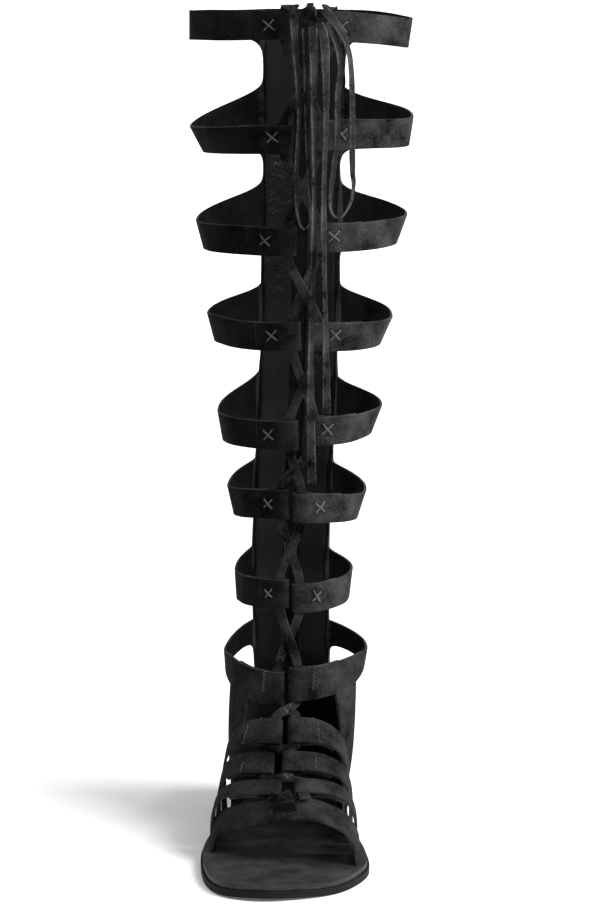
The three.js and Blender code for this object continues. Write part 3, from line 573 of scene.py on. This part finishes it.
def finer(node, name, slot, finishes, levels, rounding, finish_of=None):
    """A finer copy of a CAD node: quads again, its bends rounded and its cut edges softened."""
    form = bmesh.new()
    form.from_mesh(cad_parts[node].data)
    bmesh.ops.remove_doubles(form, verts=form.verts, dist=2e-6)
    bmesh.ops.join_triangles(form, faces=form.faces, angle_face_threshold=0.7, angle_shape_threshold=1.4)
    crease = form.edges.layers.float.new("crease_edge")
    for edge in form.edges:
        if edge.calc_face_angle(0.0) > SHARP:
            edge[crease] = 1.0
    for face in form.faces:
        face.smooth = True
        face.material_index = finish_of(face) if finish_of else 0
    mesh = bpy.data.meshes.new(name)
    form.to_mesh(mesh)
    form.free()
    obj = show(name, mesh, slot, *finishes)
    finer_bends = obj.modifiers.new("Bends", "SUBSURF")
    finer_bends.levels = finer_bends.render_levels = levels
    soft_edges = obj.modifiers.new("Cut edges", "BEVEL")
    soft_edges.width = rounding
    soft_edges.segments = 2
    soft_edges.limit_method = "ANGLE"
    soft_edges.angle_limit = SHARP
    bake(obj)
    return obj


def pushed(point, softness):
    """Where a point of the leather goes when it gives and creases."""
    moved = point + noise.noise_vector(point * 26.0) * softness
    for middle, push, line, length, width, depth in CREASES:
        away = point - at(*middle)
        if away.length < 0.04:
            line = Vector(line).normalized()
            along = away.dot(line)
            across = (away - line * along).length
            share = math.exp(-((across / (width * MM)) ** 2) - (along / (length * MM)) ** 4)
            moved += Vector(push).normalized() * (depth * MM * share)
    return moved


def soften(obj, softness):
    for vertex in obj.data.vertices:
        vertex.co = pushed(vertex.co, softness)


def narrow_side(face, thickness):
    """Whether a face is part of a cut edge, given the leather's thickness in millimetres."""
    longest = max(e.calc_length() for e in face.edges)
    corners = sum(e.calc_face_angle(0.0) > SHARP for e in face.edges)
    return face.calc_area() / longest < thickness * MM and corners >= 2


def leather_side(face):
    """0 outer suede, 1 inside, 2 cut edge, for a face of the straps."""
    if narrow_side(face, 1.75):
        return 2
    middle = face.calc_center_median() - ORIGIN
    if middle.y > 2 * MM or middle.z > 80 * MM:
        inside = Vector((-2 * MM, 66 * MM, middle.z))
    else:
        inside = Vector((-4 * MM, middle.y + 6 * MM, 12 * MM))
    return 1 if face.normal.dot(middle - inside) < 0 else 0


def tube(path, normals, half_width, half_height, sides=8, taper=False):
    """Points and faces of a closed tube along a path, flat where its height is less than its width."""
    points = []
    faces = []
    count = len(path)
    for i, point in enumerate(path):
        ahead = (path[min(i + 1, count - 1)] - path[max(i - 1, 0)]).normalized()
        up = (normals[i] - ahead * normals[i].dot(ahead)).normalized()
        wide = ahead.cross(up)
        share = 0.55 if taper and i in (0, count - 1) else 1.0
        for k in range(sides):
            turn = math.tau * (k + 0.5) / sides
            x, y = math.cos(turn), math.sin(turn)
            x = math.copysign(abs(x) ** 0.5, x)
            y = math.copysign(abs(y) ** 0.5, y)
            points.append(point + wide * (x * half_width * share) + up * (y * half_height * share))
        if i:
            first = (i - 1) * sides
            for k in range(sides):
                after = first + (k + 1) % sides
                faces.append((first + k, after, sides + after, first + sides + k))
    faces.append(tuple(reversed(range(sides))))
    faces.append(tuple((count - 1) * sides + k for k in range(sides)))
    return points, faces


def joined(parts):
    """One list of points and faces out of several."""
    points = []
    faces = []
    for more_points, more_faces in parts:
        start = len(points)
        points.extend(more_points)
        faces.extend(tuple(start + i for i in face) for face in more_faces)
    return points, faces


def smooth_route(rows, step):
    """Points every step along a smooth curve through the rows, with the other columns carried along."""
    dense = []
    for i in range(len(rows) - 1):
        around = [Vector(rows[min(max(i + k, 0), len(rows) - 1)]) for k in (-1, 0, 1, 2)]
        for j in range(24):
            t = j / 24
            a, b, c, d = around
            dense.append(
                0.5 * (
                    2 * b + (c - a) * t + (2 * a - 5 * b + 4 * c - d) * t * t
                    + (3 * b - a - 3 * c + d) * t ** 3
                )
            )
    dense.append(Vector(rows[-1]))
    gaps = [(dense[i + 1].to_3d() - dense[i].to_3d()).length for i in range(len(dense) - 1)]
    total = sum(gaps)
    count = max(2, round(total / step))
    route = []
    walked = 0.0
    i = 0
    for n in range(count + 1):
        target = total * n / count
        while i < len(gaps) - 1 and walked + gaps[i] < target:
            walked += gaps[i]
            i += 1
        t = min(max((target - walked) / gaps[i], 0), 1) if gaps[i] else 0
        route.append(dense[i].lerp(dense[i + 1], t))
    return route, total


def lace_length(name, rows, finishes):
    """A free length of flat lace."""
    settings = bpy.context.scene.sandal_lace
    route, length = smooth_route(rows, 2.2)
    path = [at(*row[:3]) for row in route]
    normals = []
    for row in route:
        turn = math.radians(row[3])
        normals.append(Vector((math.sin(turn), -math.cos(turn), 0)))
    points, faces = tube(path, normals, settings.width / 2, settings.thickness / 2, LACE_SIDES)
    softened = [p + noise.noise_vector(p * 160) * 0.00022 for p in points]
    obj = show(name, mesh_of(name, softened, faces), "lace", *finishes)
    for polygon in obj.data.polygons[: LACE_SIDES * (len(path) - 1)]:
        if polygon.index % LACE_SIDES in LACE_EDGES:
            polygon.material_index = 1
    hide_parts(name)
    return obj


def surface_of(obj):
    graph = bpy.context.evaluated_depsgraph_get()
    return BVHTree.FromObject(obj, graph)


def facing_strip(surface, edges, name, finish):
    """One of the two facings up the inside of the back spine."""
    rows = 150
    columns = 10
    low, high = SPINE[0][0], SPINE[-1][0]
    places = []
    for i in range(rows + 1):
        z = low + (high - low) * i / rows
        k = max(n for n in range(len(SPINE) - 1) if SPINE[n][0] <= z)
        (z0, x0, h0), (z1, x1, h1) = SPINE[k], SPINE[k + 1]
        t = (z - z0) / (z1 - z0)
        middle, half = x0 + (x1 - x0) * t, h0 + (h1 - h0) * t
        row = []
        for j in range(columns + 1):
            x = middle + half * (edges[0] + (edges[1] - edges[0]) * j / columns)
            hit = surface.ray_cast(at(x, 88, z), Vector((0, 1, 0)))[0]
            lift = 0.35 + 0.5 * math.sin(math.pi * j / columns) ** 0.3
            for (wx, wz), (lx, lz), length, width, depth in FACING_WRINKLES:
                size = math.hypot(lx, lz)
                along = ((x - wx) * lx + (z - wz) * lz) / size
                across = ((z - wz) * lx - (x - wx) * lz) / size
                wave = math.exp(-((across / width) ** 2) - (along / length) ** 4)
                lift += depth * wave * (1.0 if int(wz * 2) % 2 else -0.6)
            row.append((hit or at(x, 119, z)) - Vector((0, lift * MM, 0)))
        places.append(row)
    points = [p for row in places for p in row]
    wide = columns + 1
    faces = []
    for i in range(rows):
        for j in range(columns):
            a = i * wide + j
            faces.append((a, a + 1, a + wide + 1, a + wide))
    mesh = mesh_of(name, points, faces)
    obj = show(name, mesh, "suede", finish)
    # Painted highlights along the facing's wrinkles.
    wrinkle_highlights(places, name)
    body = obj.modifiers.new("Thickness", "SOLIDIFY")
    body.thickness = 0.0007
    body.offset = -1.0
    bake(obj)
    return obj


def wrinkle_highlights(places, name):
    """Painted highlights: pale broken lines along the facing's wrinkles, drawn along its own rows."""
    dice = random.Random(SEED + 6)
    count = len(places) - 1
    low, high = SPINE[0][0], SPINE[-1][0]
    parts = []
    for (x, z), (_, slope), _, _, depth in FACING_WRINKLES:
        row = round((z - low) / (high - low) * count)
        ends = sorted(((places[row][j].x - ORIGIN.x) / MM for j in (0, -1)))
        if not ends[0] < x < ends[1] or depth < HIGHLIGHT_DEPTH:
            continue
        for _ in range(7):
            start = dice.uniform(0.0, 7.0)
            reach = dice.uniform(1.5, 5.0)
            shift = dice.uniform(-2.6, 2.6)
            path = []
            for k in range(9):
                share = min(start + reach * k / 8, 9.99)
                j = int(share)
                place = (
                    row + (shift + 0.9 * noise.noise(Vector((share, z, shift))))
                    + (share - 5) * slope * 0.9
                )
                i = min(max(int(place), 0), count - 1)
                a = places[i][j].lerp(places[i][j + 1], share - j)
                b = places[i + 1][j].lerp(places[i + 1][j + 1], share - j)
                path.append(a.lerp(b, place - i) - Vector((0, 0.00008, 0)))
            parts.append(tube(path, [Vector((0, -1, 0))] * 9, 0.00016, 0.00008, 6, taper=True))
    if parts:
        points, faces = joined(parts)
        # The pale suede is a painted highlight: the light caught on the wrinkles' ridges.
        pale = suede(f"Painted_highlight {name}", (0.03, 0.03, 0.0305), 1.8, 0.0, 0.1, 0.4)
        show(f"{name}_crazing", mesh_of(f"{name}_crazing", points, faces), "suede", pale)


def on_surface(surface, point):
    """Nearest point of the leather's outside, and the way it faces."""
    found, normal, _, _ = surface.find_nearest(point)
    return found, normal


def reach(surface, x, z, step_x, step_z):
    """How far the strap goes on from a place on its front, walking one way, in millimetres."""
    walked = 0.0
    while walked < PROBE_X * 2:
        probe = at(x + step_x * walked, FRONT, z + step_z * walked)
        if surface.ray_cast(probe, Vector((0, 1, 0)), FRONT_DEPTH)[0] is None:
            break
        walked += PROBE_STEP
    return walked


def strap_place(surface, side, z, from_end):
    """The x and z midway between a half ring's edges, at a distance from its folded end."""
    end = side * (PROBE_X - reach(surface, side * PROBE_X, z, -side, 0))
    x = end + side * from_end
    return x, z + (reach(surface, x, z, 0, 1) - reach(surface, x, z, 0, -1)) / 2


def thread(surface, start, end, thickness, rise, steps):
    """A stitch lying over the leather from start to end, arched by rise."""
    path = []
    normals = []
    for i in range(steps + 1):
        share = i / steps
        found, normal = on_surface(surface, start.lerp(end, share))
        path.append(found + normal * (thickness * 0.25 + rise * math.sin(math.pi * share) ** 0.6))
        normals.append(normal)
    return tube(path, normals, thickness / 2, thickness / 2, 6, taper=True)


def disc(centre, normal, radius):
    """A small needle hole as a near-black disc of painted shade, sunk a little in the middle."""
    side = normal.orthogonal().normalized()
    other = normal.cross(side)
    points = [centre + normal * 0.00004]
    for k in range(10):
        turn = math.tau * k / 10
        points.append(centre + normal * 0.00009 + (side * math.cos(turn) + other * math.sin(turn)) * radius)
    faces = [(0, 1 + k, 1 + (k + 1) % 10) for k in range(10)]
    return points, faces


# ------------------------------------------------------------------ operators


class SANDAL_OT_stage(bpy.types.Operator):
    """Camera, lights and floor"""

    bl_idname = "sandal.stage"
    bl_label = "Stage"

    def execute(self, context):
        settings = context.scene.sandal_stage
        camera = bpy.data.objects.new("Camera", bpy.data.cameras.new("Camera"))
        context.scene.collection.objects.link(camera)
        camera.location = settings.eye
        look = Vector((-math.sin(settings.turn), math.cos(settings.turn), 0)) * math.cos(settings.dip)
        look.z = -math.sin(settings.dip)
        camera.rotation_euler = look.to_track_quat("-Z", "Y").to_euler()
        camera.data.lens = settings.lens
        camera.data.clip_end = 200
        context.scene.camera = camera
        self.light(context, "Key", (52, 0, 68), settings.key, 40)
        self.light(context, "Overhead", (10, 0, 0), settings.key * 0.16, 70)
        world = bpy.data.worlds.new("Studio")
        world.use_nodes = True
        back = world.node_tree.nodes["Background"]
        back.inputs["Color"].default_value = (1, 1, 1, 1)
        back.inputs["Strength"].default_value = settings.fill
        context.scene.world = world
        context.scene.view_settings.view_transform = "Standard"
        size = 70
        corners = [(-size, -size, 0), (size, -size, 0), (size, size, 0), (-size, size, 0)]
        floor = bpy.data.objects.new("Floor", mesh_of("Floor", corners, [(0, 1, 2, 3)]))
        context.scene.collection.objects.link(floor)
        paper, s, shader = material("Paper")
        link(s, shader, Base_Color=(0.93, 0.93, 0.93, 1), Roughness=1.0, Specular_IOR_Level=0.0,
             Emission_Color=(1, 1, 1, 1), Emission_Strength=0.1)
        floor.data.materials.append(paper)
        return {"FINISHED"}

    def light(self, context, name, turns, strength, spread):
        sun = bpy.data.objects.new(name, bpy.data.lights.new(name, "SUN"))
        sun.data.energy = strength
        sun.data.angle = math.radians(spread)
        sun.rotation_euler = [math.radians(t) for t in turns]
        context.scene.collection.objects.link(sun)


class SANDAL_OT_free_lace(bpy.types.Operator):
    """The bow's loops, the knot and the two free ends"""

    bl_idname = "sandal.free_lace"
    bl_label = "Bow and ends"

    def execute(self, context):
        settings = context.scene.sandal_lace
        finish = suede("Lace suede", settings.colour, 1.9, 0.25, 0.1, 1.0)
        edge = suede("Lace edge", [c * 2.6 for c in settings.colour], 1.9, 0.25, 0.1, 1.0)
        lace_length("bow_loop_outer", BOW_LOOP_OUTER, [finish, edge])
        lace_length("bow_loop_inner", BOW_LOOP_INNER, [finish, edge])
        lace_length("lace_end_outer", LACE_END_OUTER, [finish, edge])
        lace_length("lace_end_inner", LACE_END_INNER, [finish, edge])
        self.knot(finish)
        return {"FINISHED"}

    def knot(self, finish):
        """The knot: a tight lump of lace with two turns pulled over it."""
        parts = [self.lump(*KNOT_LUMP, KNOT_LUMP_SIZE)]
        for x, y, z, wide, tall, tilt, half in KNOT_TURNS:
            path = []
            normals = []
            for k in range(33):
                turn = math.tau * k / 32
                out = Vector((math.sin(tilt) * math.sin(turn), math.cos(turn), math.sin(turn)))
                path.append(at(x + out.x * wide, y + out.y * wide, z + out.z * tall))
                normals.append(Vector((0, math.cos(turn), math.sin(turn))))
            parts.append(tube(path, normals, half * MM, 0.6 * MM, LACE_SIDES))
        points, faces = joined(parts)
        obj = show("lace_knot_tied", mesh_of("lace_knot_tied", points, faces), "lace", finish)
        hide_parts("lace_knot")

    def lump(self, x, y, z, size):
        """A ball of lace pressed out of round."""
        points = []
        faces = []
        rings, sides = 14, 20
        for i in range(rings + 1):
            lift = math.pi * i / rings
            for k in range(sides):
                turn = math.tau * k / sides
                out = Vector((
                    math.sin(lift) * math.cos(turn), math.sin(lift) * math.sin(turn), -math.cos(lift)
                ))
                swell = 1.0 + 0.22 * noise.noise(out * 1.7)
                points.append(at(
                    x + out.x * size.x * swell, y + out.y * size.y * swell, z + out.z * size.z * swell
                ))
                if i:
                    a, b = (i - 1) * sides, (k + 1) % sides
                    faces.append((a + k, a + b, a + sides + b, a + sides + k))
        return points, faces


class SANDAL_OT_lacing(bpy.types.Operator):
    """The lace through the loops"""

    bl_idname = "sandal.lacing"
    bl_label = "Lacing"

    def execute(self, context):
        finishes = [bpy.data.materials["Lace suede"], bpy.data.materials["Lace edge"]]
        obj = finer(
            "lace_crossings", "lacing", "lace", finishes, 2, 0.00025, lambda face: int(narrow_side(face, 1.5))
        )
        for vertex in obj.data.vertices:
            vertex.co += noise.noise_vector(vertex.co * 150) * 0.00018
        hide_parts("lace_crossings")
        return {"FINISHED"}


class SANDAL_OT_straps(bpy.types.Operator):
    """All the suede straps, the back spine and its two facings"""

    bl_idname = "sandal.straps"
    bl_label = "Straps"

    def execute(self, context):
        settings = context.scene.sandal_leather
        outside = suede("Suede", settings.suede, 1.25, 0.74, 0.03)
        inside = suede("Suede inside", settings.lining, 1.0, 0.35, 0.02, 0.3)
        cut = suede("Cut edge", settings.edge, 1.3, 0.45, 0.12, 0.8)
        straps = finer(
            "upper", "straps", "suede", [outside, inside, cut], 2, settings.rounding, leather_side
        )
        soften(straps, settings.softness)
        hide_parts("upper")
        surface = surface_of(straps)
        for name, (tone, *edges) in FACINGS.items():
            # The difference between the two tones is painted shade: the outer facing darker than the inner.
            colour = [c * tone for c in settings.lining]
            leather = smooth_leather(f"Leather {name}", colour, 0.44, 0.6, 0.5, 0.13)
            facing_strip(surface, edges, name, leather)
        self.fibres(straps, settings.fibres)
        return {"FINISHED"}

    def fibres(self, straps, count):
        """Loose fibres standing off the cut edges, as one mesh."""
        dice = random.Random(SEED + 2)
        mesh = straps.data
        cut = [p for p in mesh.polygons if p.material_index == 2 and p.center.z > 0.014]
        areas = [p.area for p in cut]
        parts = []
        for polygon in dice.choices(cut, areas, k=count):
            corners = [mesh.vertices[i].co for i in polygon.vertices]
            shares = [dice.random() for _ in corners]
            root = sum((c * s for c, s in zip(corners, shares)), Vector()) / sum(shares)
            lean = Vector([dice.uniform(-1, 1) for _ in range(3)])
            length = dice.uniform(0.25, 0.95) * MM
            tip = root + (polygon.normal + lean * 0.8).normalized() * length
            side = lean.cross(polygon.normal).normalized() * (0.035 * MM)
            parts.append(([root - side, root + side, tip], [(0, 1, 2)]))
        points, faces = joined(parts)
        fuzz = plain("Fibre", (0.06, 0.06, 0.06), 0.9)
        show("edge_fibres", mesh_of("edge_fibres", points, faces), "suede", fuzz)


class SANDAL_OT_stitches(bpy.types.Operator):
    """Cross stitches on the rings, zigzag stitches over the foot"""

    bl_idname = "sandal.stitches"
    bl_label = "Stitches"

    def execute(self, context):
        settings = context.scene.sandal_thread
        surface = surface_of(bpy.data.objects["straps"])
        threads = []
        seams = []
        holes = []
        pressed = []
        for side, height, cross_inset, size, turn, flap_end in RING_FRONTS:
            x, z = strap_place(surface, side, height, cross_inset)
            tilt = math.radians(turn)
            corners = []
            for left, up in ((-1, -1), (1, 1), (-1, 1), (1, -1)):
                dx, dz = left * size / 2, up * size * 0.44
                across = dx * math.cos(tilt) - dz * math.sin(tilt)
                corners.append(at(x + across, IN_FRONT, z + dx * math.sin(tilt) + dz * math.cos(tilt)))
            threads.append(thread(surface, corners[0], corners[1], settings.cross, 0.35 * MM, 8))
            threads.append(thread(surface, corners[2], corners[3], settings.cross, 0.95 * MM, 8))
            for corner in corners:
                holes.append(disc(*on_surface(surface, corner), 0.95 * MM))
            # A pale line where the turned-back part stops: the part's lighter raw cut edge with a painted
            # highlight of the light it catches, drawn as a thin strand on the strap.
            x, z = strap_place(surface, side, height, flap_end)
            rows = []
            for k in range(13):
                rows.append(at(x + 0.3 * math.sin(z + k * 1.3), IN_FRONT, z - 7.2 + 14.4 * k / 12))
            for a, b in zip(rows, rows[1:]):
                pressed.append(thread(surface, a, b, settings.zigzag * 0.8, 0.0, 2))
        for low, high, turns, half in ZIGZAGS:
            start, end = at(*low), at(*high)
            out = Vector((0, -1, 0.9)).normalized() * 0.006
            corners = []
            for i in range(turns * 2 + 1):
                side = half * MM * (1 if i % 2 else -1)
                corners.append(start.lerp(end, i / (turns * 2)) + Vector((side, 0, 0)) + out)
            for a, b in zip(corners, corners[1:]):
                if (on_surface(surface, a)[0] - on_surface(surface, b)[0]).length < STITCH_REACH:
                    seams.append(thread(surface, a, b, settings.zigzag, 0.12 * MM, 3))
                    holes.append(disc(*on_surface(surface, b), 0.32 * MM))
        cotton = suede("Thread", settings.colour, 0.6, 0.25, 0.1, 0.0)
        fine = suede("Fine thread", [c * 0.62 for c in settings.colour], 0.6, 0.25, 0.1, 0.0)
        # Near-black discs of painted shade for the needle holes.
        hole = plain("Needle hole", (0.001,) * 3)
        # The pale flap-edge line: lighter raw edge with a painted highlight, not wear.
        worn = suede("Flap edge highlight", [c * 2.2 for c in context.scene.sandal_leather.suede], 1.6, 0.6, 0.03)
        for name, parts, finish in (
            ("cross_stitches", threads, cotton), ("zigzag_stitches", seams, fine),
            ("needle_holes", holes, hole), ("flap_edge_highlights", pressed, worn),
        ):
            points, faces = joined(parts)
            show(name, mesh_of(name, points, faces), "suede", finish)
        return {"FINISHED"}


class SANDAL_OT_sole(bpy.types.Operator):
    """Footbed and outsole"""

    bl_idname = "sandal.sole"
    bl_label = "Sole"

    def execute(self, context):
        settings = context.scene.sandal_sole
        bed_finish = smooth_leather("Footbed leather", settings.footbed, 0.5, 0.35, 0.5, 0.12, 1.9)
        sole_finish = smooth_leather("Outsole rubber", settings.outsole, 0.65, 0.25, 0.2, 0.08)
        bed = finer("insole", "footbed", "footbed", [bed_finish], 2, 0.00045)
        for vertex in bed.data.vertices:
            spot = (vertex.co - ORIGIN) / MM
            if spot.z > FOOTBED_UNDERSIDE:
                for x, y, long, wide in FOOTPRINT:
                    share = math.exp(-(((spot.x - x) / wide) ** 2) - ((spot.y - y) / long) ** 2)
                    vertex.co.z -= settings.tread * share
        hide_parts("insole")
        sole = finer("outsole", "outsole_finished", "sole", [sole_finish], 2, 0.0004)
        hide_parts("outsole")
        return {"FINISHED"}


class SANDAL_PT_panel(bpy.types.Panel):
    """Buttons that build the sandal"""

    bl_label = "Sandal"
    bl_idname = "SANDAL_PT_panel"
    bl_space_type = "VIEW_3D"
    bl_region_type = "UI"
    bl_category = "Sandal"

    def draw(self, context):
        for operator in OPERATORS:
            self.layout.operator(operator.bl_idname)


OPERATORS = (
    SANDAL_OT_stage,
    SANDAL_OT_free_lace,
    SANDAL_OT_lacing,
    SANDAL_OT_straps,
    SANDAL_OT_stitches,
    SANDAL_OT_sole,
)
SETTINGS = {
    "sandal_leather": SandalLeather,
    "sandal_thread": SandalThread,
    "sandal_lace": SandalLace,
    "sandal_sole": SandalSole,
    "sandal_stage": SandalStage,
}


def register():
    for group in SETTINGS.values():
        bpy.utils.register_class(group)
    for name, group in SETTINGS.items():
        setattr(bpy.types.Scene, name, PointerProperty(type=group))
    for operator in OPERATORS:
        bpy.utils.register_class(operator)
    bpy.utils.register_class(SANDAL_PT_panel)


def unregister():
    bpy.utils.unregister_class(SANDAL_PT_panel)
    for operator in reversed(OPERATORS):
        bpy.utils.unregister_class(operator)
    for name, group in SETTINGS.items():
        delattr(bpy.types.Scene, name)
        bpy.utils.unregister_class(group)


def main():
    register()
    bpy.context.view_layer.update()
    bpy.ops.sandal.stage()
    bpy.ops.sandal.free_lace()
    bpy.ops.sandal.lacing()
    bpy.ops.sandal.straps()
    bpy.ops.sandal.stitches()
    bpy.ops.sandal.sole()


if __name__ == "__main__":
    main()
